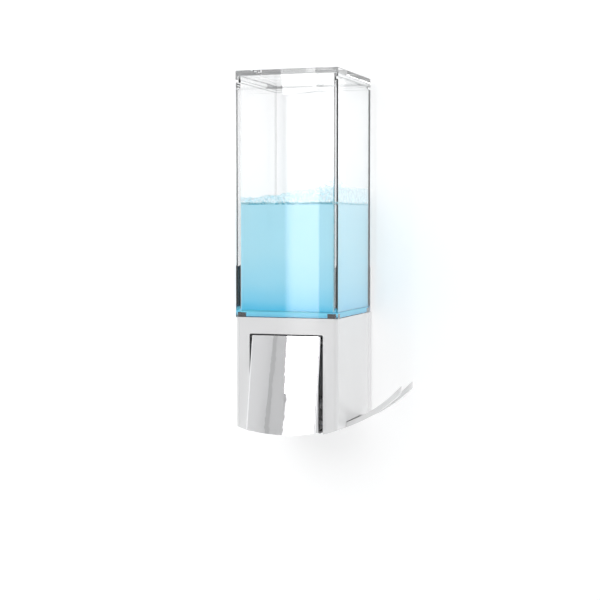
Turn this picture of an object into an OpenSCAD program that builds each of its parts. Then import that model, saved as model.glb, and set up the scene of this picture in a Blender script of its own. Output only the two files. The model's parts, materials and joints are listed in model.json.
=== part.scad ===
// Wall mounted soap dispenser with a push lever and a side arm.
// Millimetres, +Z up. The origin is on the wall, midway between the two wall screws and level
// with the seat of the soap chamber. The front faces -Y.

/* [Overall] */
// Width of the casing, the chamber and the lid
body_w = 71; // [69:0.5:80]
// Depth from the wall to the front face
body_d = 82.5; // [81:0.5:88]
// Radius of the vertical front edges of the casing
front_edge_r = 3.2; // [2.8:0.1:5]

/* [Casing] */
// Lowest point of the curved underside, below the chamber seat
casing_low = 79.4; // [79:0.2:84]
// Radius of the curved underside
bottom_r = 100.5; // [99:0.5:110]
// Wall thickness of the casing
casing_t = 2.5; // [2.2:0.1:2.8]
// Half width of the lever opening
opening_half_w = 25.6; // [25.4:0.1:26]
// Top edge of the lever opening, below the chamber seat
opening_top = 10.8; // [10:0.1:11.2]
// Depth of the casing behind the front, cut open under the lever
lever_bay_d = 18; // [17.5:0.1:20]

/* [Lever] */
// Half width of the lever
lever_half_w = 24; // [23.6:0.1:24.2]
// Angle by which the lever stands out at rest
lever_tilt = 10.5; // [6:0.5:10.5]
// Wall thickness of the lever cover
lever_t = 1.8; // [1.4:0.1:2]
// Radius of the lever's curved lower edge
lever_bottom_r = 112; // [105:1:120]
// Lowest point of the pressed lever, below the chamber seat
lever_low = 78.2; // [77.6:0.1:78.4]
// Top edge of the pressed lever, below the chamber seat
lever_top = 13.1; // [12.8:0.1:13.4]
// How far the pressed lever stands in front of the casing
lever_proud = 0.8; // [0.4:0.1:1.2]

/* [Chamber and lid] */
// Height of the chamber's flush outer walls
chamber_h = 155.1; // [100:1:220]
// Wall thickness of the chamber
chamber_t = 3; // [2.8:0.1:3.4]
// Thickness of the lid's top
lid_t = 3.4; // [2.5:0.1:5]
// Gap between the chamber's walls and the lid's skirt
lid_gap = 1.7; // [1:0.1:2.5]
// Length of the lid's skirt
skirt_h = 2.6; // [2:0.1:4]

/* [Wall plate] */
// Depth of the wall plate behind the casing
plate_d = 7.9; // [7.6:0.1:8]
// Height of the plate's tongue behind the chamber
tongue_h = 33; // [32:1:60]
// Distance between the two wall screws
screw_pitch = 50; // [48:1:52]
// Diameter of the wall screw holes
screw_hole_d = 4.5; // [4:0.1:5]

/* [Side arm] */
// Sideways reach of the arm from the middle of the body
arm_reach = 72.4; // [60:0.2:80]
// Thickness of the arm
arm_t = 3.2; // [3:0.1:3.4]
// Width of each prong
prong_w = 6.6; // [5:0.1:8]
// Width of the whole fork
fork_w = 36.6; // [34:0.2:37]

/* [Pump] */
// Inner diameter of the pump's barrel
bore_d = 16; // [16:0.1:16.4]
// Height of the barrel's axis, below the chamber seat
barrel_drop = 45; // [45:0.1:45.5]
// Diameter of the inlet ball
ball_d = 7; // [6.8:0.1:7.2]
// Turns of the return spring
spring_turns = 7; // [5:1:8]

/* [Hidden] */
$fn = 96;
eps = 0.5;                            // overrun of a cutting tool
clear = 0.3;                          // free gap between parts that move past each other

half_w = body_w / 2;
front_y = -body_d;
arc_z = bottom_r - casing_low;        // height of the axis of the curved underside
casing_rear_y = -plate_d - clear;
cavity_front_y = front_y + casing_t;
bay_rear_y = front_y + lever_bay_d;

// lever pivot and the nose that pushes the piston
pivot_y = front_y + 6.5;
pivot_z = -16;
pin_r = 1.5;
nose_arm = barrel_drop + pivot_z;
nose_r = 3;
nose_y = pivot_y + nose_arm * tan(lever_tilt / 2);
stroke = 2 * nose_arm * tan(lever_tilt / 2);
lever_front_y = front_y - lever_proud;

// pump, along Y, with its inlet and outlet on one upright axis
bore_r = bore_d / 2;
barrel_r = bore_r + 2;
spout_y = front_y + 33;
button_y = nose_y + nose_r + clear - stroke;
barrel_front_y = front_y + 17.5;
barrel_rear_y = barrel_front_y + 31;
barrel_wall = 3;
head_front_y = barrel_front_y + 0.5;
head_l = 7;
rod_r = 4;
rod_gap = 0.05;
socket_r = 6;
socket_top_z = -8;
seat_top_z = -18;
seat_under_z = -21;
cage_z = -28;
seat_hole_r = 2.5;
cage_slot_w = 3;
ball_r = ball_d / 2;
ball_z = cage_z + sqrt(pow(ball_r, 2) - pow(cage_slot_w / 2, 2) * 2) + 0.03;
outlet_tube_z = -66;
nozzle_r = 8.6;
nozzle_tip_z = -82;

// wall plate
tongue_t = 2.4;
tongue_half = half_w - 0.6;
pad_t = 1.2;
screw_wall = 1.8;                     // depth of the screw hole below its counterbore

// chamber and lid
chamber_rear_y = -4;
inner_t = chamber_t - 1.65;           // thickness of the chamber's raised collar
lid_top_z = chamber_h + lid_gap + skirt_h + lid_t;
lid_under_z = lid_top_z - lid_t;
collar_top_z = lid_under_z - 0.1;
floor_t = 4.2;
stem_r = 5.95;
pad_w = 6;
pad_h = 3.1;

// side arm, bent about the same axis as the underside
arm_outer_r = bottom_r + 0.7;
arm_inner_r = arm_outer_r - arm_t;
fork_front_y = front_y + 20.9;
fork_rear_y = fork_front_y + fork_w;
fork_mid_y = (fork_front_y + fork_rear_y) / 2;
slot_gap = 0.4;                       // gap above the arm
web_end_x = half_w + 6;
pocket_x = 24;
web_x = pocket_x + 0.4;
root_x = 13;                          // inner end of the arm
root_half = 9.2;
ledge_half = 11.2;
ledge_r = arm_inner_r + 0.25;
ledge_t = 0.9;

// screws, bosses and the hooks of the wall plate
post_r = 3.5;
post_x = half_w - 5.5;
post_z = [-8, -58];
cover_front_y = casing_rear_y - 2.8;
cover_rear_y = casing_rear_y - 0.4;
self_tap_r = 1.1;
pump_screw_x = 20;
hook_x = 20;
hook_w = 8;
hook_z = [-20, -54];                  // top faces of the necks
neck_h = 3.5;
lip_h = 6;
lip_front_y = cover_front_y - 3.2;
lip_rear_y = cover_front_y - 0.4;

// ---------- shared shapes ----------

// Extrudes an X-Z outline from y0 back to y1.
module along_y(y0, y1) {
    translate([0, y1, 0])
        rotate([90, 0, 0])
            linear_extrude(height = y1 - y0)
                children();
}

// Extrudes a Y-Z outline from x0 to x1.
module along_x(x0, x1) {
    translate([x0, 0, 0])
        rotate([90, 0, 90])
            linear_extrude(height = x1 - x0)
                children();
}

// A cylinder along +Y that starts at y0.
module rod_y(x, z, y0, y1, r) {
    translate([x, y1, z])
        rotate([90, 0, 0])
            cylinder(r = r, h = y1 - y0);
}

// A cylinder along +X.
module rod_x(x0, x1, y, z, r) {
    translate([x0, y, z])
        rotate([0, 90, 0])
            cylinder(r = r, h = x1 - x0);
}

// An upright cylinder on the inlet axis.
module rod_z(z0, z1, r) {
    translate([0, spout_y, z0])
        cylinder(r = r, h = z1 - z0);
}

// Block between two corners.
module block(low, high) {
    translate(low)
        cube(high - low);
}

// Mirrors its children to the left as well.
module both_sides() {
    children();
    mirror([1, 0, 0])
        children();
}

// X-Z outline with straight sides and a curved lower edge.
module curved_outline(half, top, r, centre_z) {
    intersection() {
        translate([-half, -120])
            square([2 * half, 120 + top]);
        translate([0, centre_z])
            circle(r = r, $fn = 256);
    }
}

// X-Y outline with rounded front corners. The arcs cross the straight sides at a very small
// angle instead of touching them, which keeps the solid's edges well defined.
module front_rounded(half, y0, y1, r) {
    cross = 0.012;
    intersection() {
        translate([-half, y0])
            square([2 * half, y1 - y0]);
        union() {
            translate([-half, y0 + r])
                square([2 * half, y1 - y0 - r]);
            translate([-half + r, y0])
                square([2 * (half - r), r + 0.1]);
            for (side = [-1, 1])
                translate([side * (half - r + cross), y0 + r - cross])
                    circle(r = r);
        }
    }
}

// Rectangle with all four corners rounded, from corner a to corner b.
module rounded_rect(a, b, r) {
    translate([a[0] + r, a[1]])
        square([b[0] - a[0] - 2 * r, b[1] - a[1]]);
    translate([a[0], a[1] + r])
        square([b[0] - a[0], b[1] - a[1] - 2 * r]);
    for (x = [a[0] + r, b[0] - r])
        for (y = [a[1] + r, b[1] - r])
            translate([x, y])
                circle(r = r, $fn = 48);
}

// Ring sector of the curved underside, bounded by an X-Y rectangle.
module arc_plate(r0, r1, x0, x1, y0, y1) {
    along_y(y0, y1)
        intersection() {
            translate([0, arc_z])
                difference() {
                    circle(r = r1, $fn = 256);
                    circle(r = r0, $fn = 256);
                }
            translate([x0, arc_z - r1 - 1])
                square([x1 - x0, r1 + 1]);
        }
}

// Turns a part drawn in the pressed position out to the rest position.
module lever_at_rest() {
    translate([0, pivot_y, pivot_z])
        rotate([-lever_tilt, 0, 0])
            translate([0, -pivot_y, -pivot_z])
                children();
}

// ---------- wall side ----------

module wall_outline(grow) {
    curved_outline(half_w + grow, 0, bottom_r + grow, arc_z);
}

module wall_hook(x, top_z) {
    block([x - hook_w / 2, lip_front_y, top_z - neck_h], [x + hook_w / 2, -2, top_z]);
    block([x - hook_w / 2, lip_front_y, top_z - neck_h], [x + hook_w / 2, lip_rear_y, top_z + lip_h]);
}

module wall_plate() {
    back_t = 3;
    rim_t = 2.4;
    color("white")
        difference() {
            union() {
                along_y(-back_t, 0)
                    wall_outline(0);
                difference() {
                    along_y(-plate_d, -back_t + 0.1)
                        wall_outline(0);
                    along_y(-plate_d - 1, -back_t)
                        curved_outline(half_w - rim_t, -rim_t, bottom_r - rim_t, arc_z);
                }
                along_y(-tongue_t, 0)
                    rounded_rect([-tongue_half, -20], [tongue_half, tongue_h], 1.5);
                for (side = [-1, 1])
                    for (z = hook_z)
                        wall_hook(side * hook_x, z);
            }
            for (side = [-1, 1])
                translate([0, 0, side * screw_pitch / 2]) {
                    rod_y(0, 0, -10, 1, screw_hole_d / 2);
                    rod_y(0, 0, -10, -screw_wall, screw_hole_d);
                }
        }
}

// Soft pad that keeps the chamber from rattling on the tongue.
module tongue_pad() {
    color("darkslategray")
        difference() {
            along_y(-tongue_t - pad_t, -tongue_t - 0.02)
                rounded_rect([-tongue_half, 0.6], [tongue_half, tongue_h - 0.3], 1.5);
            rod_y(0, screw_pitch / 2, -10, 1, screw_hole_d + 0.5);
        }
}

// ---------- casing ----------

module casing_solid(inset) {
    intersection() {
        along_y(front_y + inset, casing_rear_y + (inset > 0 ? eps : 0))
            curved_outline(half_w - inset, inset > 0 ? -inset : 0, bottom_r - inset, arc_z);
        translate([0, 0, -120])
            linear_extrude(height = 121)
                front_rounded(half_w - inset, front_y + inset, casing_rear_y + eps, max(front_edge_r - inset, 0.7));
    }
}

module pivot_lug() {
    lug_r = 3.3;
    inner_x = lever_half_w + 0.9;
    rod_x(inner_x, half_w - casing_t + 0.5, pivot_y, pivot_z, lug_r);
    block(
        [opening_half_w + 0.9, cavity_front_y - 0.5, pivot_z - lug_r],
        [half_w - casing_t + 0.5, pivot_y, pivot_z + lug_r]
    );
}

// Sleeve inside the casing that holds the side arm.
module arm_sleeve() {
    roof_r = arm_inner_r - slot_gap - 2;
    joint_r = bottom_r - casing_t + 0.4;
    arc_plate(
        roof_r, joint_r, root_x - 2.4, pocket_x + 1,
        fork_mid_y - ledge_half - 2.3, fork_mid_y + ledge_half + 2.3
    );
    arc_plate(
        roof_r, joint_r, pocket_x - 2, half_w - casing_t + 0.5,
        fork_front_y - 2.3, fork_rear_y + 2.3
    );
}

// Space for the side arm: open at the bottom and to the side, with grooves for its side ledges.
module arm_slot() {
    side = clear;
    intersection() {
        arc_plate(
            arm_inner_r - slot_gap, bottom_r + 3, root_x - 1, half_w + 1,
            fork_front_y - side, fork_rear_y + side
        );
        translate([0, 0, -100])
            linear_extrude(height = 90) {
                translate([pocket_x, fork_front_y - side])
                    square([20, fork_w + 2 * side]);
                translate([root_x - side, fork_mid_y - root_half - side])
                    square([20, 2 * (root_half + side)]);
            }
    }
    arc_plate(
        ledge_r - 0.35, ledge_r + ledge_t + clear, root_x - side, pocket_x + 1,
        fork_mid_y - ledge_half - side, fork_mid_y + ledge_half + side
    );
}

module casing() {
    deck_hole_r = 12;
    nozzle_hole_r = nozzle_r + 0.8;
    boss_r = 3.2;
    color("whitesmoke")
        difference() {
            union() {
                difference() {
                    casing_solid(0);
                    casing_solid(casing_t);
                }
                for (side = [-1, 1])
                    for (z = post_z)
                        rod_y(side * post_x, z, cavity_front_y - 0.5, cover_front_y, post_r);
                both_sides()
                    pivot_lug();
                for (side = [-1, 1])
                    translate([side * pump_screw_x, spout_y, -10])
                        cylinder(r = boss_r, h = 8);
                arm_sleeve();
            }
            // lever opening, open at the bottom
            along_y(front_y - eps, cavity_front_y + 0.2)
                rounded_rect([-opening_half_w, -100], [opening_half_w, -opening_top], 1.2);
            block([-opening_half_w, front_y - eps, -100], [opening_half_w, bay_rear_y, -casing_low + 14]);
            // seats of the lever pin
            rod_x(-half_w + 4, half_w - 4, pivot_y, pivot_z, pin_r + 0.02);
            // outlet and nozzle passages
            rod_z(-10, 1, deck_hole_r);
            rod_z(-100, -60, nozzle_hole_r);
            // pilot holes
            for (side = [-1, 1]) {
                for (z = post_z)
                    rod_y(side * post_x, z, cover_front_y - 12, cover_front_y + 1, self_tap_r + 0.05);
                translate([side * pump_screw_x, spout_y, -11])
                    cylinder(r = self_tap_r + 0.05, h = 8);
            }
            arm_slot();
        }
}

module back_cover() {
    slack = 0.25;
    color("gainsboro")
        difference() {
            along_y(cover_front_y, cover_rear_y)
                curved_outline(
                    half_w - casing_t - slack, -casing_t - slack,
                    bottom_r - casing_t - slack, arc_z
                );
            for (side = [-1, 1]) {
                for (z = hook_z)
                    block(
                        [side * hook_x - hook_w / 2 - 0.5, cover_front_y - 1, z - neck_h - lip_h - 0.8],
                        [side * hook_x + hook_w / 2 + 0.5, cover_rear_y + 1, z + 0.1]
                    );
                for (z = post_z) {
                    rod_y(side * post_x, z, cover_front_y - 1, cover_rear_y + 1, self_tap_r + 0.2);
                    rod_y(side * post_x, z, cover_rear_y - 1.3, cover_rear_y + 1, 2.9);
                }
            }
        }
}

// A pan-head self-tapping screw, drawn with its head at the origin and its shank along -Y.
module tapping_screw(head_r, head_h, shank_l) {
    difference() {
        union() {
            rod_y(0, 0, 0, head_h, head_r);
            rod_y(0, 0, -shank_l, 0.1, self_tap_r);
        }
        for (turn = [0, 90])
            rotate([0, turn, 0])
                block([-head_r * 0.6, head_h - 0.7, -0.3], [head_r * 0.6, head_h + 1, 0.3]);
    }
}

module back_screws() {
    color("silver")
        for (side = [-1, 1])
            for (z = post_z)
                translate([side * post_x, cover_rear_y - 1.3, z])
                    tapping_screw(2.6, 1.3, 10);
}

// ---------- side arm ----------

// X-Y outline of the arm: its root, its web and its two prongs.
module arm_plan() {
    r = prong_w / 2;
    translate([root_x, fork_mid_y - root_half])
        square([pocket_x - root_x + 2, 2 * root_half]);
    translate([web_x, fork_front_y])
        square([web_end_x - web_x, fork_w]);
    for (y = [fork_front_y, fork_rear_y - prong_w]) {
        translate([web_end_x - 1, y])
            square([arm_reach - r - web_end_x + 1, prong_w]);
        translate([arm_reach - r, y + r])
            circle(r = r, $fn = 48);
    }
    // rounded roots of the gap
    for (end = [-1, 1])
        difference() {
            translate([web_end_x - 0.5, fork_mid_y + end * (fork_w / 2 - prong_w) - (end > 0 ? 4 : -0)])
                square([4.5, 4]);
            translate([web_end_x + 4, fork_mid_y + end * (fork_w / 2 - prong_w - 4)])
                circle(r = 4, $fn = 48);
        }
}

module hook_arm() {
    color("whitesmoke") {
        difference() {
            intersection() {
                arc_plate(
                    arm_inner_r, arm_outer_r, root_x - 1, arm_reach + 1,
                    fork_front_y, fork_rear_y
                );
                translate([0, 0, -90])
                    linear_extrude(height = 80)
                        arm_plan();
            }
            // the root is flush with the underside of the casing
            arc_plate(
                bottom_r - 0.2, arm_outer_r + 2, root_x - 2, web_x,
                fork_front_y, fork_rear_y
            );
        }
        arc_plate(
            ledge_r, ledge_r + ledge_t, root_x, web_x + 1,
            fork_mid_y - ledge_half, fork_mid_y + ledge_half
        );
    }
}

// ---------- lever ----------

// Y-Z outline of the lever's flanks in the pressed position.
module lever_side(front, rear, top) {
    polygon([
        [front, -top], [rear, -top], [rear, -20],
        [bay_rear_y - 3, -62], [bay_rear_y - 3, -100], [front, -100]
    ]);
}

module lever_solid(inset, rear) {
    intersection() {
        along_y(lever_front_y + inset, rear)
            curved_outline(
                lever_half_w - inset, -lever_top - inset,
                lever_bottom_r - inset, lever_bottom_r - lever_low
            );
        translate([0, 0, -120])
            linear_extrude(height = 120)
                front_rounded(lever_half_w - inset, lever_front_y + inset, rear, max(1.3 - inset, 0.3));
    }
}

// Catch behind the front wall that stops the lever at rest.
module lever_catch() {
    block([lever_half_w - 0.5, bay_rear_y - 4.9, -72], [lever_half_w + 2.6, bay_rear_y - 3, -66.5]);
}

module lever_cover() {
    flank_rear_y = front_y + 3.5;
    color("silver")
        lever_at_rest() {
            intersection() {
                difference() {
                    lever_solid(0, bay_rear_y - 3);
                    lever_solid(lever_t, bay_rear_y);
                }
                along_x(-lever_half_w - 1, lever_half_w + 1)
                    lever_side(lever_front_y - 1, flank_rear_y, lever_top);
            }
            mirror([1, 0, 0])
                lever_catch();
        }
}

module lever_ear() {
    ear_r = 2.9;
    x0 = 16.5;
    x1 = lever_half_w - lever_t - 0.6;
    rod_x(x0, x1, pivot_y, pivot_z, ear_r);
    block([x0, lever_front_y + lever_t + 0.5, pivot_z - ear_r], [x1, pivot_y, pivot_z + 1]);
}

module lever_frame() {
    plate_front = lever_front_y + lever_t + 0.05;
    plate_back = plate_front + 2;
    edge = lever_t + 0.1;
    color("white")
        lever_at_rest()
            difference() {
                union() {
                    along_y(plate_front, plate_back)
                        curved_outline(
                            lever_half_w - edge, -lever_top - edge,
                            lever_bottom_r - edge, lever_bottom_r - lever_low
                        );
                    both_sides() {
                        lever_ear();
                        block([12, plate_back - 0.1, -70], [13.6, plate_back + 3, -18]);
                    }
                    block([-6, plate_back - 0.1, -barrel_drop - nose_r], [6, nose_y, -barrel_drop + nose_r]);
                    rod_x(-6, 6, nose_y, -barrel_drop, nose_r);
                }
                rod_x(-30, 30, pivot_y, pivot_z, pin_r + 0.05);
            }
}

module lever_pin() {
    color("lightgray")
        rod_x(-half_w + 4.5, half_w - 4.5, pivot_y, pivot_z, pin_r);
}

// ---------- pump ----------

module pump_body() {
    flange_t = 3;
    tube_r = 7;
    color("ivory")
        difference() {
            union() {
                rod_y(0, -barrel_drop, barrel_front_y, barrel_rear_y, barrel_r);
                rod_z(-barrel_drop, socket_top_z, socket_r + 2.4);
                rod_z(outlet_tube_z, -barrel_drop, tube_r);
                translate([0, 0, -10 - flange_t])
                    linear_extrude(height = flange_t)
                        rounded_rect(
                            [-pump_screw_x - 4, spout_y - 4.5],
                            [pump_screw_x + 4, spout_y + 4.5], 3
                        );
            }
            rod_y(0, -barrel_drop, barrel_front_y - 1, barrel_rear_y - barrel_wall, bore_r);
            rod_z(seat_under_z, socket_top_z + 1, socket_r);
            rod_z(cage_z, seat_under_z + 0.1, 4.6);
            for (turn = [0, 90])
                translate([0, spout_y, 0])
                    rotate([0, 0, turn])
                        block([-4.5, -cage_slot_w / 2, -barrel_drop], [4.5, cage_slot_w / 2, cage_z + 0.1]);
            rod_z(-barrel_drop - bore_r - 5, -barrel_drop, 2.5);
            rod_z(outlet_tube_z - 1, -barrel_drop - bore_r - 4, 5);
            for (side = [-1, 1])
                translate([side * pump_screw_x, spout_y, -14])
                    cylinder(r = self_tap_r + 0.25, h = 6);
        }
}

module pump_screws() {
    color("silver")
        for (side = [-1, 1])
            translate([side * pump_screw_x, spout_y, -13])
                rotate([-90, 0, 0])
                    translate([0, 0, 0])
                        tapping_screw(2.6, 1.6, 9);
}

module pump_cap() {
    plate_t = 3;
    color("gainsboro")
        difference() {
            rod_y(0, -barrel_drop, barrel_front_y - plate_t, barrel_front_y + 5, barrel_r + 1.8);
            rod_y(0, -barrel_drop, barrel_front_y, barrel_front_y + 6, barrel_r + 0.05);
            rod_y(0, -barrel_drop, barrel_front_y - plate_t - 1, barrel_front_y + 1, rod_r + rod_gap);
        }
}

module piston() {
    groove_y = head_front_y + 2.2;
    color("white")
        difference() {
            union() {
                rod_y(0, -barrel_drop, button_y, head_front_y + 1, rod_r);
                rod_y(0, -barrel_drop, button_y, button_y + 1.6, 5.5);
                rod_y(0, -barrel_drop, head_front_y, head_front_y + head_l, bore_r - 0.08);
                rod_y(0, -barrel_drop, head_front_y, head_front_y + head_l + 2.5, 3.6);
            }
            difference() {
                rod_y(0, -barrel_drop, groove_y, groove_y + 2.4, bore_r + 1);
                rod_y(0, -barrel_drop, groove_y - 1, groove_y + 3.4, bore_r - 2.2);
            }
        }
}

// A ring of round section about the Y axis or the Z axis.
module seal_ring(ring_r, section_r) {
    rotate_extrude()
        translate([ring_r, 0])
            circle(r = section_r, $fn = 32);
}

module piston_seal() {
    section_r = 1.05;
    color("dimgray")
        translate([0, head_front_y + 3.4, -barrel_drop])
            rotate([90, 0, 0])
                seal_ring(bore_r - 0.05 - section_r, section_r);
}

// Points of one wire section of the return spring, at a fraction of its length.
function spring_section(f, length, coil_r, wire_r, sides) = [
    for (i = [0 : sides - 1])
        let (
            turn = 360 * spring_turns * f,
            a = 360 * i / sides,
            r = coil_r + wire_r * cos(a)
        )
            [r * cos(turn), wire_r + f * (length - 2 * wire_r) + wire_r * sin(a), r * sin(turn)]
];

module piston_spring() {
    wire_r = 0.5;
    coil_r = 4.9;
    sides = 8;
    start_y = head_front_y + head_l + 0.1;
    length = barrel_rear_y - barrel_wall - 0.1 - start_y;
    rings = spring_turns * 20;
    points = [
        for (k = [0 : rings])
            each spring_section(k / rings, length, coil_r, wire_r, sides)
    ];
    sides_faces = [
        for (k = [0 : rings - 1])
            for (i = [0 : sides - 1])
                [
                    k * sides + i, k * sides + (i + 1) % sides,
                    (k + 1) * sides + (i + 1) % sides, (k + 1) * sides + i
                ]
    ];
    end_faces = [
        [for (i = [sides - 1 : -1 : 0]) i],
        [for (i = [0 : sides - 1]) rings * sides + i]
    ];
    color("silver")
        translate([0, start_y, -barrel_drop])
            polyhedron(points = points, faces = concat(sides_faces, end_faces), convexity = 10);
}

module inlet_seat() {
    color("gainsboro")
        difference() {
            rod_z(seat_under_z + 0.02, seat_top_z, socket_r - 0.03);
            rod_z(seat_under_z - 1, seat_top_z + 1, seat_hole_r);
        }
}

module inlet_ball() {
    color("silver")
        translate([0, spout_y, ball_z])
            sphere(r = ball_r);
}

// Duckbill valve: a flanged tube that narrows to a flat slit.
module outlet_valve() {
    flange_top = -barrel_drop - bore_r - 4.05;
    color("lightgray")
        difference() {
            union() {
                rod_z(flange_top - 2, flange_top, 4.9);
                rod_z(flange_top - 6, flange_top - 1, 4.1);
                translate([0, spout_y, flange_top - 10])
                    linear_extrude(height = 4.2)
                        square([8, 2.2], center = true);
            }
            rod_z(flange_top - 6, flange_top + 1, 2.8);
            translate([0, spout_y, flange_top - 11])
                linear_extrude(height = 6)
                    square([5, 0.5], center = true);
        }
}

module nozzle() {
    collar_top = outlet_tube_z + 8;
    tip_r = 4.6;
    cone_top = nozzle_tip_z + 4;
    color("white")
        difference() {
            union() {
                rod_z(cone_top, collar_top, nozzle_r);
                translate([0, spout_y, nozzle_tip_z])
                    cylinder(r1 = tip_r, r2 = nozzle_r, h = cone_top - nozzle_tip_z + 0.01);
            }
            rod_z(outlet_tube_z, collar_top + 1, 7.05);
            rod_z(outlet_tube_z - 8, outlet_tube_z + 1, 5.2);
            rod_z(nozzle_tip_z - 1, outlet_tube_z, 2.6);
        }
}

// ---------- chamber and lid ----------

module chamber_plan(inset) {
    r = max(1.1 - inset, 0.5);
    rounded_rect([-half_w + inset, front_y + inset], [half_w - inset, chamber_rear_y - inset], r);
}

module chamber() {
    collar_out = chamber_t - inner_t;
    color("skyblue", 0.4)
        difference() {
            union() {
                linear_extrude(height = chamber_h)
                    chamber_plan(0);
                translate([0, 0, chamber_h - 1])
                    linear_extrude(height = collar_top_z - chamber_h + 1)
                        chamber_plan(collar_out);
            }
            translate([0, 0, floor_t])
                linear_extrude(height = collar_top_z)
                    chamber_plan(chamber_t);
            rod_z(-1, floor_t + 1, stem_r + 0.15);
            for (x = [-half_w + 1.2, half_w - 1.2 - pad_w])
                for (y = [front_y + 1.2, chamber_rear_y - 1.2 - pad_w])
                    block([x, y, -1], [x + pad_w, y + pad_w, pad_h + 0.1]);
        }
}

module chamber_pads() {
    color("black")
        for (x = [-half_w + 1.3, half_w - 1.1 - pad_w])
            for (y = [front_y + 1.3, chamber_rear_y - 1.1 - pad_w])
                block([x, y, 0.05], [x + pad_w - 0.2, y + pad_w - 0.2, pad_h]);
}

module chamber_outlet() {
    flange_z = floor_t + 1.05;
    tip_z = seat_top_z + 1.2;
    groove_z = -13;
    color("white")
        difference() {
            union() {
                rod_z(flange_z, flange_z + 2, 9);
                rod_z(tip_z, flange_z + 1, stem_r);
            }
            rod_z(tip_z - 1, flange_z + 3, 3.2);
            difference() {
                rod_z(groove_z - 0.6, groove_z + 0.6, stem_r + 1);
                rod_z(groove_z - 1, groove_z + 1, 5);
            }
        }
}

module outlet_gasket() {
    color("gray")
        difference() {
            rod_z(floor_t + 0.02, floor_t + 1.03, 9);
            rod_z(floor_t - 1, floor_t + 2, stem_r + 0.05);
        }
}

module outlet_nut() {
    color("white")
        difference() {
            translate([0, spout_y, -5])
                cylinder(r = 10.2, h = 4.9, $fn = 6);
            rod_z(-6, 1, stem_r + 0.03);
        }
}

module spout_oring() {
    section_r = 0.47;
    color("dimgray")
        translate([0, spout_y, -13])
            seal_ring(5.02 + section_r, section_r);
}

module lid() {
    skirt_t = chamber_t - inner_t - 0.25;
    color("skyblue", 0.4)
        translate([0, 0, lid_under_z - skirt_h])
            difference() {
                linear_extrude(height = skirt_h + lid_t)
                    chamber_plan(0);
                translate([0, 0, -1])
                    linear_extrude(height = skirt_h + 1)
                        chamber_plan(skirt_t);
            }
}

wall_plate();
tongue_pad();
casing();
back_cover();
back_screws();
hook_arm();
lever_cover();
lever_frame();
lever_pin();
pump_body();
pump_screws();
pump_cap();
piston();
piston_seal();
piston_spring();
inlet_seat();
inlet_ball();
outlet_valve();
nozzle();
chamber();
chamber_pads();
chamber_outlet();
outlet_gasket();
outlet_nut();
spout_oring();
lid();
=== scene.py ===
"""Looks of a wall mounted soap dispenser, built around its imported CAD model.

Everything is in metres in the model's own frame: +Z up, the wall at y = 0, the front facing -Y.
"""

import json
import math
import random

import bmesh
import bpy
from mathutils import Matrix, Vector, noise


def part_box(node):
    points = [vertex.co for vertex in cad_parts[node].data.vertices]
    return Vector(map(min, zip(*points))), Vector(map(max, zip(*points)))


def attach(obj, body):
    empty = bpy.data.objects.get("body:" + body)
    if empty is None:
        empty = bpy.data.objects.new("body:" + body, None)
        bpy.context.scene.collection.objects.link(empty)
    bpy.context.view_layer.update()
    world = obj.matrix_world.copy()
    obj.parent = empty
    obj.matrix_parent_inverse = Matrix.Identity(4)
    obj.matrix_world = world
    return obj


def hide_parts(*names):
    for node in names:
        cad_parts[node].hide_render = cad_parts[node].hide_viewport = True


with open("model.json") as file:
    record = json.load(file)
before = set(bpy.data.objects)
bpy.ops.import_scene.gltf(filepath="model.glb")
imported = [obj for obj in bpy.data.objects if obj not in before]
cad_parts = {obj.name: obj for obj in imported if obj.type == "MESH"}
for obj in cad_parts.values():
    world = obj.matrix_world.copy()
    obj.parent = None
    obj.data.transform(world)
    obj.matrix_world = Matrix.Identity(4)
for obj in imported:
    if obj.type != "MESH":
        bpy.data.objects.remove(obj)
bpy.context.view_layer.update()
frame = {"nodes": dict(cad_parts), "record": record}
nodes = frame["nodes"]
body_of_node = {
    node: body
    for body, members in frame["record"]["behaviour"]["bodies"].items()
    for node in members
}
slot_of_node = {s["node"]: s["material_slot"] for s in frame["record"]["subparts"]}

MM = 0.001


# ---------------------------------------------------------------- materials


def new_material(name):
    """A material with its Principled shader, returned as (material, node tree, shader)."""
    material = bpy.data.materials.new(name)
    material.use_nodes = True
    tree = material.node_tree
    shader = tree.nodes["Principled BSDF"]
    return material, tree, shader


def set_values(shader, **values):
    """Sets constant sockets of a shader, with underscores standing for spaces."""
    for key, value in values.items():
        socket = shader.inputs[key.replace("_", " ")]
        is_colour = socket.type == "RGBA"
        socket.default_value = (*value, 1.0) if is_colour else value


def object_noise(tree, scale, detail=2.0, roughness=0.5, stretch=(1, 1, 1)):
    """Noise in the object's own coordinates, with scale in cells per metre."""
    where = tree.nodes.new("ShaderNodeTexCoord")
    mapping = tree.nodes.new("ShaderNodeMapping")
    mapping.inputs["Scale"].default_value = stretch
    texture = tree.nodes.new("ShaderNodeTexNoise")
    texture.inputs["Scale"].default_value = scale
    texture.inputs["Detail"].default_value = detail
    texture.inputs["Roughness"].default_value = roughness
    tree.links.new(where.outputs["Object"], mapping.inputs["Vector"])
    tree.links.new(mapping.outputs["Vector"], texture.inputs["Vector"])
    return texture.outputs["Fac"]


def ramp(tree, source, stops):
    """Colour ramp over a 0 to 1 value; stops are (position, (r, g, b))."""
    node = tree.nodes.new("ShaderNodeValToRGB")
    elements = node.color_ramp.elements
    while len(elements) > 1:
        elements.remove(elements[-1])
    elements[0].position, elements[0].color = stops[0][0], (*stops[0][1], 1)
    for position, colour in stops[1:]:
        elements.new(position).color = (*colour, 1)
    tree.links.new(source, node.inputs["Fac"])
    return node.outputs["Color"]


def value_range(tree, source, low, high):
    """Maps a 0 to 1 value onto low to high."""
    node = tree.nodes.new("ShaderNodeMapRange")
    node.inputs["To Min"].default_value = low
    node.inputs["To Max"].default_value = high
    tree.links.new(source, node.inputs["Value"])
    return node.outputs["Result"]


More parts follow.
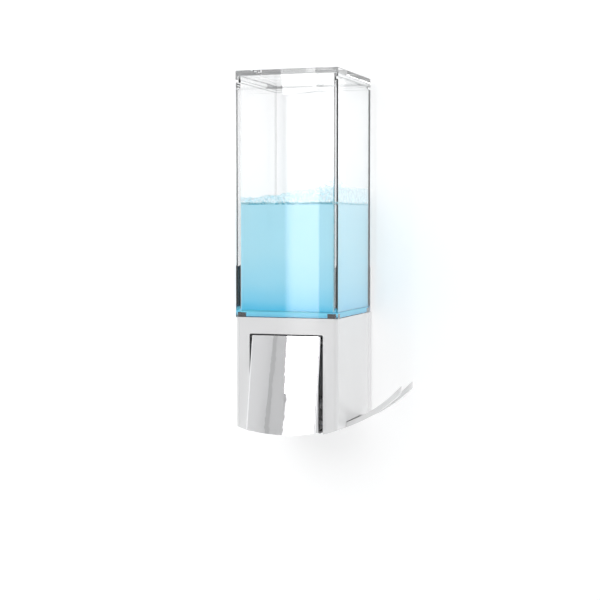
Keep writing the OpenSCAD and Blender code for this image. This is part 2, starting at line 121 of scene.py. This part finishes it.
def object_axes(tree):
    """The X, Y and Z outputs of the object's own coordinates."""
    where = tree.nodes.new("ShaderNodeTexCoord")
    split = tree.nodes.new("ShaderNodeSeparateXYZ")
    tree.links.new(where.outputs["Object"], split.inputs["Vector"])
    return split.outputs


def calculate(tree, operation, first, second=None, clamp=False):
    """One maths node over one or two values."""
    node = tree.nodes.new("ShaderNodeMath")
    node.operation = operation
    node.use_clamp = clamp
    tree.links.new(first, node.inputs[0])
    if second:
        tree.links.new(second, node.inputs[1])
    return node.outputs["Value"]


def between(tree, source, start, end, low=0.0, high=1.0):
    """Maps start to end onto low to high, and holds the ends."""
    node = tree.nodes.new("ShaderNodeMapRange")
    node.inputs["From Min"].default_value = start
    node.inputs["From Max"].default_value = end
    node.inputs["To Min"].default_value = low
    node.inputs["To Max"].default_value = high
    tree.links.new(source, node.inputs["Value"])
    return node.outputs["Result"]


def tint(tree, shader, factor, base, colour):
    """Base colour of the shader: base, turned to a fixed colour by the factor."""
    mix = tree.nodes.new("ShaderNodeMixRGB")
    mix.inputs["Color2"].default_value = (*colour, 1.0)
    tree.links.new(factor, mix.inputs["Fac"])
    tree.links.new(base, mix.inputs["Color1"])
    tree.links.new(mix.outputs["Color"], shader.inputs["Base Color"])


def add_bump(tree, shader, source, height, strength=1.0):
    """Bump from a 0 to 1 value, with height in metres."""
    node = tree.nodes.new("ShaderNodeBump")
    node.inputs["Strength"].default_value = strength
    node.inputs["Distance"].default_value = height
    tree.links.new(source, node.inputs["Height"])
    tree.links.new(node.outputs["Normal"], shader.inputs["Normal"])


def moulded_plastic(name, dark, light, roughness, coat, grain, grain_height):
    """Opaque moulded plastic with faint colour drift, uneven gloss and a fine skin."""
    material, tree, shader = new_material(name)
    set_values(
        shader, IOR=1.5, Coat_Weight=coat, Coat_Roughness=0.06,
        Subsurface_Weight=0.04, Subsurface_Radius=(0.004, 0.004, 0.004), Subsurface_Scale=1.0,
    )
    drift = object_noise(tree, 18.0, 3.0)
    tree.links.new(ramp(tree, drift, [(0.3, dark), (0.7, light)]), shader.inputs["Base Color"])
    gloss = object_noise(tree, 260.0, 4.0)
    tree.links.new(
        value_range(tree, gloss, roughness * 0.8, roughness * 1.25), shader.inputs["Roughness"]
    )
    add_bump(tree, shader, object_noise(tree, grain, 2.0), grain_height)
    return material


def paint_opening_shade(material, half_width, front_y, top_z):
    """Painted shade: dark inner faces behind the front of the lever's opening."""
    tree = material.node_tree
    shader = tree.nodes["Principled BSDF"]
    axes = object_axes(tree)
    off_centre = calculate(tree, "ABSOLUTE", axes["X"])
    within = between(tree, off_centre, half_width + 0.2 * MM, half_width + 0.1 * MM)
    behind = between(tree, axes["Y"], front_y + 0.3 * MM, front_y + 1.5 * MM)
    below = between(tree, axes["Z"], top_z + 0.2 * MM, top_z + 0.1 * MM)
    inside = calculate(tree, "MULTIPLY", calculate(tree, "MULTIPLY", within, behind), below)
    base = shader.inputs["Base Color"].links[0].from_socket
    # The near-black colour is painted shade on the faces inside the opening.
    tint(tree, shader, inside, base, (0.012, 0.012, 0.013))
    return material


def chrome():
    """Polished plating over a moulding: mirror bright, with a slow ripple and faint smudges."""
    material, tree, shader = new_material("polished_chrome")
    set_values(shader, Metallic=1.0, Base_Color=(0.93, 0.93, 0.94))
    smudge = object_noise(tree, 120.0, 5.0, 0.6)
    tree.links.new(value_range(tree, smudge, 0.004, 0.02), shader.inputs["Roughness"])
    add_bump(tree, shader, object_noise(tree, 170.0, 1.0, 0.5, (0.6, 1, 1.2)), 0.000006)
    return material


def steel():
    """Bright stainless wire, balls and screws, with fine drawn lines."""
    material, tree, shader = new_material("bright_steel")
    set_values(shader, Metallic=1.0)
    lines = object_noise(tree, 400.0, 3.0, 0.6, (1, 8, 1))
    tree.links.new(
        ramp(tree, lines, [(0.3, (0.55, 0.55, 0.57)), (0.7, (0.74, 0.74, 0.75))]),
        shader.inputs["Base Color"],
    )
    tree.links.new(value_range(tree, lines, 0.18, 0.34), shader.inputs["Roughness"])
    return material


def rubber(name, dark, light, roughness, grain=900.0, height=0.00004):
    """Matt rubber or foam with a fine open grain."""
    material, tree, shader = new_material(name)
    set_values(shader, IOR=1.5)
    specks = object_noise(tree, grain, 4.0, 0.6)
    tree.links.new(ramp(tree, specks, [(0.35, dark), (0.65, light)]), shader.inputs["Base Color"])
    tree.links.new(
        value_range(tree, specks, roughness - 0.08, roughness + 0.08), shader.inputs["Roughness"]
    )
    add_bump(tree, shader, specks, height)
    return material


def clear_acrylic():
    """Clear polished acrylic with a trace of wear in its gloss."""
    material, tree, shader = new_material("clear_acrylic")
    set_values(shader, IOR=1.49, Transmission_Weight=1.0, Base_Color=(0.976, 0.976, 0.977))
    wear = object_noise(tree, 300.0, 4.0)
    tree.links.new(value_range(tree, wear, 0.0, 0.012), shader.inputs["Roughness"])
    return material


def liquid_soap(bottom_z, floor_z, top_z):
    """Blue liquid soap: cloudy, paler towards its top, dark at the floor line, beaded at its rim. Below
    the floor line it is painted light: a bright colour and a glow.
    """
    material, tree, shader = new_material("blue_liquid_soap")
    set_values(
        shader, IOR=1.36, Transmission_Weight=0.08, Roughness=0.3, Specular_IOR_Level=0.25,
        Emission_Strength=1.0,
    )
    axes = object_axes(tree)
    height = between(tree, axes["Z"], bottom_z, top_z)
    clouds = value_range(tree, object_noise(tree, 34.0, 3.0), -0.2, 0.2)
    drift = calculate(tree, "MULTIPLY", clouds, value_range(tree, height, 0.0, 1.6))
    line = (floor_z - bottom_z) / (top_z - bottom_z)
    # Below the floor line the bright colour is painted light, where the soap reaches into the acrylic
    # floor.
    depths = ramp(
        tree, calculate(tree, "ADD", height, drift),
        [
            (0.0, (0.22, 0.94, 1.0)), (line - 0.008, (0.22, 0.94, 1.0)),
            (line, (0.04, 0.50, 0.70)), (line + 0.008, (0.06, 0.60, 0.88)),
            (0.13, (0.20, 0.70, 0.93)), (0.3, (0.36, 0.80, 0.97)), (0.55, (0.46, 0.86, 0.99)),
            (1.0, (0.50, 0.88, 1.0)),
        ],
    )
    rim = between(tree, axes["Z"], top_z - 1.3 * MM, top_z - 0.7 * MM)
    beads = ramp(tree, object_noise(tree, 420.0, 2.0), [(0.42, (0, 0, 0)), (0.5, (1, 1, 1))])
    tint(tree, shader, calculate(tree, "MULTIPLY", rim, beads), depths, (0.06, 0.46, 0.62))
    # Painted light: a glow below the floor line stands in for light scattered up from the bright floor.
    glow = ramp(
        tree, height, [(line - 0.012, (0.07, 0.14, 0.28)), (line - 0.004, (0.0, 0.0, 0.0))]
    )
    tree.links.new(glow, shader.inputs["Emission Color"])
    return material


def soap_foam(base_z):
    """Pale wet foam with fine cells that thins out upwards."""
    material, tree, shader = new_material("soap_foam")
    # Its faint emission is painted light, standing in for light scattered inside the foam.
    set_values(
        shader, IOR=1.2, Transmission_Weight=0.06, Roughness=0.4, Specular_IOR_Level=0.3,
        Emission_Color=(0.70, 0.90, 1.0), Emission_Strength=0.1,
    )
    cells = object_noise(tree, 620.0, 4.0, 0.65)
    tree.links.new(
        ramp(tree, cells, [(0.35, (0.50, 0.83, 0.93)), (0.62, (0.93, 0.99, 1.0))]),
        shader.inputs["Base Color"],
    )
    add_bump(tree, shader, cells, 0.0003, 0.6)
    thickness = between(tree, object_axes(tree)["Z"], base_z, base_z + 16 * MM, 0.9, 0.0)
    patches = value_range(tree, object_noise(tree, 420.0, 4.0, 0.6), -0.7, 0.7)
    tree.links.new(
        calculate(tree, "ADD", thickness, patches, clamp=True), shader.inputs["Alpha"]
    )
    return material


WHITE_GLOSS = ((0.745, 0.745, 0.748), (0.775, 0.775, 0.778), 0.2, 0.5, 1500.0, 0.000004)
MATERIALS = {
    "white_gloss": moulded_plastic("white_gloss_plastic", *WHITE_GLOSS),
    "white_plastic": moulded_plastic(
        "white_satin_plastic", (0.78, 0.78, 0.785), (0.83, 0.83, 0.835), 0.38, 0.0, 2600.0, 0.00001
    ),
    "natural_plastic": moulded_plastic(
        "natural_plastic", (0.68, 0.67, 0.61), (0.75, 0.74, 0.69), 0.42, 0.0, 2200.0, 0.00001
    ),
    "chrome": chrome(),
    "steel": steel(),
    "seal_rubber": rubber("seal_rubber", (0.02, 0.02, 0.021), (0.045, 0.045, 0.048), 0.5),
    "black_rubber": rubber("black_rubber", (0.012, 0.013, 0.015), (0.035, 0.037, 0.04), 0.45),
    "dark_foam": rubber("dark_foam", (0.008, 0.055, 0.085), (0.025, 0.115, 0.155), 0.85, 1400.0, 0.0001),
    "silicone": rubber("white_silicone", (0.66, 0.67, 0.67), (0.76, 0.77, 0.77), 0.4),
    "clear_plastic": clear_acrylic(),
}


# ------------------------------------------------------------- mesh helpers


def add_piece(name, mesh, body, material):
    """Links a finished mesh, gives it its material and lets it ride on a body."""
    piece = bpy.data.objects.new(name, mesh)
    bpy.context.scene.collection.objects.link(piece)
    mesh.materials.clear()
    mesh.materials.append(material)
    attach(piece, body)
    return piece


def apply_modifiers(piece):
    """Turns the piece's modifiers into mesh."""
    graph = bpy.context.evaluated_depsgraph_get()
    mesh = bpy.data.meshes.new_from_object(piece.evaluated_get(graph))
    piece.modifiers.clear()
    old = piece.data
    piece.data = mesh
    bpy.data.meshes.remove(old)


def smooth_by_angle(mesh, degrees):
    """Smooth shading, with edges sharper than the angle kept crisp."""
    work = bmesh.new()
    work.from_mesh(mesh)
    limit = math.radians(degrees)
    for face in work.faces:
        face.smooth = True
    for edge in work.edges:
        edge.smooth = len(edge.link_faces) == 2 and edge.calc_face_angle(0) < limit
    work.to_mesh(mesh)
    work.free()


def finished_mesh(work, name, degrees):
    """Turns a bmesh into a named mesh, smooth up to the angle."""
    mesh = bpy.data.meshes.new(name)
    work.to_mesh(mesh)
    work.free()
    smooth_by_angle(mesh, degrees)
    return mesh


def refined(node, edge_radius, segments=3, angle=28):
    """A finer copy of a CAD node: its flat faces are made whole and its edges are rounded."""
    mesh = nodes[node].data.copy()
    work = bmesh.new()
    work.from_mesh(mesh)
    bmesh.ops.remove_doubles(work, verts=work.verts, dist=1e-6)
    bmesh.ops.dissolve_limit(
        work, angle_limit=math.radians(0.6), verts=work.verts, edges=work.edges,
        use_dissolve_boundaries=False,
    )
    work.to_mesh(mesh)
    work.free()
    name = node + "_finished"
    mesh.name = name
    piece = bpy.data.objects.new(name, mesh)
    bpy.context.scene.collection.objects.link(piece)
    bevel = piece.modifiers.new("round", "BEVEL")
    bevel.width = edge_radius
    bevel.segments = segments
    bevel.limit_method = "ANGLE"
    bevel.angle_limit = math.radians(angle)
    bevel.use_clamp_overlap = True
    bevel.miter_outer = "MITER_ARC"
    bevel.face_strength_mode = "FSTR_ALL"
    level = piece.modifiers.new("level", "WEIGHTED_NORMAL")
    level.mode = "FACE_AREA"
    level.keep_sharp = True
    level.use_face_influence = True
    smooth_by_angle(piece.data, 40)
    apply_modifiers(piece)
    piece.data.materials.clear()
    piece.data.materials.append(nodes[node].data.materials[0])
    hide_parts(node)
    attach(piece, body_of_node[node])
    return piece


# ------------------------------------------------------------ CAD materials

for name, node in nodes.items():
    node.data.materials.clear()
    node.data.materials.append(MATERIALS[slot_of_node[name]])
    smooth_by_angle(node.data, 35)

# The casing has its own copy of the gloss plastic, with painted shade inside the lever's opening.
OPENING_HALF_WIDTH = 25.6 * MM
opening_front_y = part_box("casing")[0].y
opening_top_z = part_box("lever_cover")[1].z + 0.5 * MM
nodes["casing"].data.materials[0] = paint_opening_shade(
    moulded_plastic("casing_plastic", *WHITE_GLOSS),
    OPENING_HALF_WIDTH, opening_front_y, opening_top_z,
)

# Rounded copies of the pieces whose edges show.
EDGE_RADII = {
    "casing": 0.45 * MM,
    "wall_plate": 0.35 * MM,
    "hook_arm": 0.55 * MM,
    "lever_cover": 0.5 * MM,
    "chamber": 0.3 * MM,
    "lid": 0.35 * MM,
    "nozzle": 0.4 * MM,
}
for name, radius in EDGE_RADII.items():
    refined(name, radius)

# The foam pad behind the chamber swells out almost to the chamber's left side.
pad = refined("tongue_pad", 0.1 * MM)
stretch = (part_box("chamber")[0].x + 0.1 * MM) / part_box("tongue_pad")[0].x
for vertex in pad.data.vertices:
    if vertex.co.x < 0:
        vertex.co.x *= stretch


# ------------------------------------------------------------- soap and foam

chamber_low, chamber_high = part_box("chamber")
WALL = 3.0 * MM
FLOOR = 4.2 * MM
SOAP_LEVEL = 75.5 * MM
SLIT = 0.04 * MM                      # hairline between the soap and the acrylic
FOAM_BUBBLES = 170
WATERLINE_BUBBLES = 210

soap_x0 = chamber_low.x + WALL + SLIT
soap_x1 = chamber_high.x - WALL - SLIT
soap_y0 = chamber_low.y + WALL + SLIT
soap_y1 = chamber_high.y - WALL - SLIT
soap_z0 = chamber_low.z + 0.35 * MM   # the soap reaches down to the seat, and its colour below the floor is painted light


def soap_body():
    """The liquid: a block with rounded upright edges that fills the chamber to its level."""
    work = bmesh.new()
    bmesh.ops.create_cube(work, size=1.0)
    for vertex in work.verts:
        vertex.co.x = soap_x1 if vertex.co.x > 0 else soap_x0
        vertex.co.y = soap_y1 if vertex.co.y > 0 else soap_y0
        vertex.co.z = SOAP_LEVEL if vertex.co.z > 0 else soap_z0
    upright = [e for e in work.edges if abs(e.verts[0].co.z - e.verts[1].co.z) > MM]
    bmesh.ops.bevel(
        work, geom=upright, offset=0.6 * MM, offset_type="OFFSET", segments=4, profile=0.5,
        affect="EDGES",
    )
    return finished_mesh(work, "liquid_soap", 40)


def foam_height(x, y):
    """Height of the foam's upper surface: it rises to the right and climbs the front right corner."""
    across = (x - soap_x0) / (soap_x1 - soap_x0)
    rise = across * across * (3 - 2 * across)
    to_corner = math.hypot((x - soap_x1) / (6 * MM), (y - soap_y0) / (9 * MM))
    climb = 6.0 * MM * math.exp(-to_corner * to_corner)
    edge = min(x - soap_x0, soap_x1 - x, y - soap_y0, soap_y1 - y)
    creep = 1.1 * MM * math.exp(-edge / (1.2 * MM))
    lumps = 1.4 * MM * noise.noise(Vector((x, y, 0.0)) * 110)
    grains = 0.5 * MM * noise.noise(Vector((x, y, 0.3)) * 420)
    return SOAP_LEVEL + 2.2 * MM + 7.5 * MM * rise + climb + creep + lumps + grains


def foam_body():
    """A closed layer of foam on the liquid, with an uneven upper surface."""
    columns, rows = 96, 108
    work = bmesh.new()

    def grid(height_of):
        return [
            [
                work.verts.new((x, y, height_of(x, y)))
                for x in (soap_x0 + (soap_x1 - soap_x0) * i / columns for i in range(columns + 1))
            ]
            for y in (soap_y0 + (soap_y1 - soap_y0) * j / rows for j in range(rows + 1))
        ]

    top = grid(foam_height)
    base = grid(lambda x, y: SOAP_LEVEL + SLIT)
    for j in range(rows):
        for i in range(columns):
            work.faces.new((top[j][i], top[j][i + 1], top[j + 1][i + 1], top[j + 1][i]))
            work.faces.new((base[j][i], base[j + 1][i], base[j + 1][i + 1], base[j][i + 1]))
    for i in range(columns):
        work.faces.new((base[0][i], base[0][i + 1], top[0][i + 1], top[0][i]))
        work.faces.new((base[rows][i + 1], base[rows][i], top[rows][i], top[rows][i + 1]))
    for j in range(rows):
        work.faces.new((base[j + 1][0], base[j][0], top[j][0], top[j + 1][0]))
        work.faces.new((base[j][columns], base[j + 1][columns], top[j + 1][columns], top[j][columns]))
    bmesh.ops.recalc_face_normals(work, faces=work.faces)
    return finished_mesh(work, "foam_layer", 50)


def foam_bubbles():
    """Loose clear bubbles that sit on the foam."""
    random.seed(7)
    work = bmesh.new()
    for _ in range(FOAM_BUBBLES):
        radius = random.uniform(0.2, 0.6) * MM
        x = random.uniform(soap_x0 + MM, soap_x1 - MM)
        y = random.uniform(soap_y0 + MM, soap_y1 - MM)
        made = bmesh.ops.create_icosphere(work, subdivisions=2, radius=radius)
        place = (x, y, foam_height(x, y) + radius * 0.4)
        bmesh.ops.translate(work, verts=made["verts"], vec=place)
    return finished_mesh(work, "foam_bubbles", 80)


def waterline_bubbles():
    """Tiny flattened bubbles where the liquid meets the front and right walls."""
    random.seed(11)
    work = bmesh.new()
    for _ in range(WATERLINE_BUBBLES):
        radius = random.uniform(0.2, 0.62) * MM
        along = random.random()
        on_front = random.random() < 0.7
        x = soap_x0 + (soap_x1 - soap_x0) * along if on_front else soap_x1
        y = soap_y0 if on_front else soap_y0 + (soap_y1 - soap_y0) * along
        z = SOAP_LEVEL + random.gauss(0.0, 0.3) * MM
        made = bmesh.ops.create_icosphere(work, subdivisions=2, radius=radius)
        flat = (1.2, 0.35, 1) if on_front else (0.35, 1.2, 1)
        bmesh.ops.scale(work, verts=made["verts"], vec=flat)
        bmesh.ops.translate(work, verts=made["verts"], vec=(x, y, z))
    return finished_mesh(work, "waterline_bubbles", 80)


def corner_meniscus():
    """Film of liquid that climbs the front right corner of the chamber."""
    work = bmesh.new()
    corner_x = soap_x1 + 0.15 * MM
    corner_y = soap_y0 - 0.1 * MM
    widest = 0.75 * MM
    arc_steps = 6
    levels = ((FLOOR, 1.0), (SOAP_LEVEL, 1.0), (SOAP_LEVEL + 9 * MM, 0.75), (SOAP_LEVEL + 17 * MM, 0.15))
    rings = []
    for z, share in levels:
        ring = [work.verts.new((corner_x, corner_y, z))]
        for step in range(arc_steps + 1):
            turn = math.pi / 2 * step / arc_steps
            reach = widest * share * (1 - 0.35 * math.sin(2 * turn))
            x = corner_x - reach * math.cos(turn)
            y = corner_y + reach * math.sin(turn)
            ring.append(work.verts.new((x, y, z)))
        rings.append(ring)
    count = len(rings[0])
    for low, high in zip(rings, rings[1:]):
        for i in range(count):
            work.faces.new((low[i], low[(i + 1) % count], high[(i + 1) % count], high[i]))
    work.faces.new(list(reversed(rings[0])))
    work.faces.new(rings[-1])
    bmesh.ops.recalc_face_normals(work, faces=work.faces)
    return finished_mesh(work, "corner_meniscus", 40)


soap_material = liquid_soap(soap_z0, chamber_low.z + FLOOR, SOAP_LEVEL)
foam_material = soap_foam(SOAP_LEVEL)
wet_material = rubber("wet_line", (0.25, 0.72, 0.88), (0.60, 0.92, 1.0), 0.3)
add_piece("liquid_soap", soap_body(), "tank", soap_material)
add_piece("foam_layer", foam_body(), "tank", foam_material)
add_piece("foam_bubbles", foam_bubbles(), "tank", MATERIALS["clear_plastic"])
add_piece("corner_meniscus", corner_meniscus(), "tank", wet_material)
add_piece("waterline_bubbles", waterline_bubbles(), "tank", wet_material)


# -------------------------------------------------------------------- stage


def stage_material(name, colour, glow, one_way):
    """Matt paint with a soft glow. A one-way surface is not seen from behind."""
    material = bpy.data.materials.new(name)
    material.use_nodes = True
    tree = material.node_tree
    shader = tree.nodes["Principled BSDF"]
    set_values(
        shader, Base_Color=colour, Roughness=0.9, Specular_IOR_Level=0.1,
        Emission_Color=(1.0, 1.0, 1.0), Emission_Strength=glow,
    )
    if one_way:
        geometry = tree.nodes.new("ShaderNodeNewGeometry")
        clear = tree.nodes.new("ShaderNodeBsdfTransparent")
        mix = tree.nodes.new("ShaderNodeMixShader")
        tree.links.new(geometry.outputs["Backfacing"], mix.inputs["Fac"])
        tree.links.new(shader.outputs["BSDF"], mix.inputs[1])
        tree.links.new(clear.outputs["BSDF"], mix.inputs[2])
        output = tree.nodes["Material Output"]
        tree.links.new(mix.outputs["Shader"], output.inputs["Surface"])
    return material


def stage_plane(name, corners, material, in_view=False):
    """A flat stage piece. One that is not in view still shades, reflects and is seen in glass."""
    mesh = bpy.data.meshes.new(name)
    mesh.from_pydata(corners, [], [tuple(range(len(corners)))])
    mesh.materials.append(material)
    plane = bpy.data.objects.new(name, mesh)
    bpy.context.scene.collection.objects.link(plane)
    plane.visible_camera = in_view
    return plane


def card(name, corners_xz, y, colour):
    """An upright matt card across the line of sight, given by its X and Z corners."""
    corners = [(x, y, z) for x, z in corners_xz]
    stage_plane(name, corners, stage_material(name + "_paint", colour, 0.0, False))


FLOOR_Z = -0.5
REACH = 3.0
WALL_Y = 0.0006
stage_plane(
    "stage_wall",
    [(x, WALL_Y, z) for x, z in ((-REACH, FLOOR_Z), (REACH, FLOOR_Z), (REACH, REACH), (-REACH, REACH))],
    stage_material("wall_paint", (0.93, 0.93, 0.93), 0.22, True),
    in_view=True,
)
stage_plane(
    "stage_floor",
    [(x * REACH, y * REACH, FLOOR_Z) for x, y in ((-1, -1), (1, -1), (1, 1), (-1, 1))],
    stage_material("floor_paint", (0.85, 0.85, 0.85), 0.0, False),
    in_view=True,
)

# Grey cards in front of the set, to the left, for the lever and the chamber to reflect.
card(
    "card_grey", [(-1.1, FLOOR_Z), (-0.505, FLOOR_Z), (-0.505, 0.28), (-0.56, 1.2), (-1.1, 1.2)],
    -1.53, (0.69, 0.69, 0.69),
)
card(
    "card_middle",
    [(-0.5245, 0.05), (-0.500, 0.05), (-0.500, 0.25), (-0.532, 0.6), (-0.5375, 0.6), (-0.5245, 0.22)],
    -1.505, (0.55, 0.55, 0.55),
)
card(
    "card_line",
    [(-0.533, 0.05), (-0.525, 0.05), (-0.525, 0.22), (-0.536, 0.55), (-0.544, 0.55), (-0.533, 0.22)],
    -1.506, (0.46, 0.46, 0.46),
)
# A small flag that shades the lid's right edge.
card(
    "card_lid", [(-0.137, 0.185), (-0.092, 0.185), (-0.092, 0.209), (-0.137, 0.209)],
    -0.3, (0.06, 0.06, 0.06),
)
# A black flag to the right, for the rounded edges to reflect.
flag = stage_plane(
    "flag_right", [(0.6, -1.15, FLOOR_Z), (0.8, -0.88, FLOOR_Z), (0.8, -0.88, 0.7), (0.6, -1.15, 0.7)],
    stage_material("flag_paint", (0.03, 0.03, 0.03), 0.0, False),
)
flag.visible_transmission = False
# The shade on the wall right behind the lid's rear edge.
lid_low, lid_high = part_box("lid")
shade_x0, shade_x1 = lid_low.x - 9 * MM, lid_high.x
shade_z0, shade_z1 = lid_high.z - 4.3 * MM, lid_high.z + 0.9 * MM
shade_y = 0.3 * MM
stage_plane(
    "lid_shade",
    [
        (shade_x0, shade_y, shade_z0), (shade_x1, shade_y, shade_z0),
        (shade_x1, shade_y, shade_z1), (shade_x0, shade_y, shade_z1),
    ],
    stage_material("lid_shade_paint", (0.45, 0.45, 0.45), 0.0, True),
)


# ------------------------------------------------------------------- lights


def area_light(name, place, target, size_x, size_y, power):
    """A rectangular white light aimed at a point."""
    light = bpy.data.lights.new(name, "AREA")
    light.shape = "RECTANGLE"
    light.size = size_x
    light.size_y = size_y
    light.energy = power
    lamp = bpy.data.objects.new(name, light)
    lamp.location = place
    lamp.rotation_euler = (Vector(target) - Vector(place)).to_track_quat("-Z", "Y").to_euler()
    bpy.context.scene.collection.objects.link(lamp)
    return lamp


world = bpy.data.worlds.new("studio")
world.use_nodes = True
world.node_tree.nodes["Background"].inputs["Color"].default_value = (0.99, 0.995, 1.0, 1)
world.node_tree.nodes["Background"].inputs["Strength"].default_value = 0.98
bpy.context.scene.world = world

MIDDLE_OF_SET = (0, -0.04, 0.04)
area_light("key_softbox", (-1.1, -1.3, 1.25), MIDDLE_OF_SET, 1.0, 1.0, 2.5)

# Four nested strips, one just behind the other, make one tall strip light with soft sides.
STRIP_Y = -1.5
STRIP_SIDES = ((-0.497, -0.433), (-0.494, -0.434), (-0.490, -0.435), (-0.486, -0.436))
LOW_Z = -0.155
POWER_PER_METRE = 1.95
for number, (left, right) in enumerate(STRIP_SIDES):
    middle = (left + right) / 2
    width = right - left
    place = (middle, STRIP_Y - 2 * number * MM, LOW_Z)
    area_light(f"strip_low_{number}", place, (middle, 0, LOW_Z), width, 0.89, POWER_PER_METRE * width)

# A second strip above them leans with the slope of the lever.
HIGH_Z = 0.69
HIGH_X = -0.503
strip = area_light("strip_high", (HIGH_X, STRIP_Y, HIGH_Z), (HIGH_X, 0, HIGH_Z), 0.064, 0.8, 0.9)
strip.rotation_euler.rotate_axis("Z", math.radians(4.9))
area_light("fill_softbox", (1.5, -0.9, 0.5), MIDDLE_OF_SET, 0.8, 1.4, 1)


# ------------------------------------------------------------------- camera

camera_data = bpy.data.cameras.new("camera")
camera_data.sensor_width = 36.0
camera_data.lens = 81.7
camera = bpy.data.objects.new("camera", camera_data)
camera.location = (0.2946, -0.9265, 0.0609)
CAMERA_TURN = math.radians(18.643)
CAMERA_DIP = math.radians(3.139)
camera.rotation_euler = (math.pi / 2 - CAMERA_DIP, 0, CAMERA_TURN)
bpy.context.scene.collection.objects.link(camera)
bpy.context.scene.camera = camera

scene = bpy.context.scene
scene.view_settings.view_transform = "Standard"
scene.cycles.use_denoising = True
scene.cycles.max_bounces = 24
scene.cycles.glossy_bounces = 8      # few, so the acrylic's light-guiding edges stay dark
scene.cycles.blur_glossy = 0.0
scene.cycles.transmission_bounces = 20
scene.cycles.transparent_max_bounces = 16
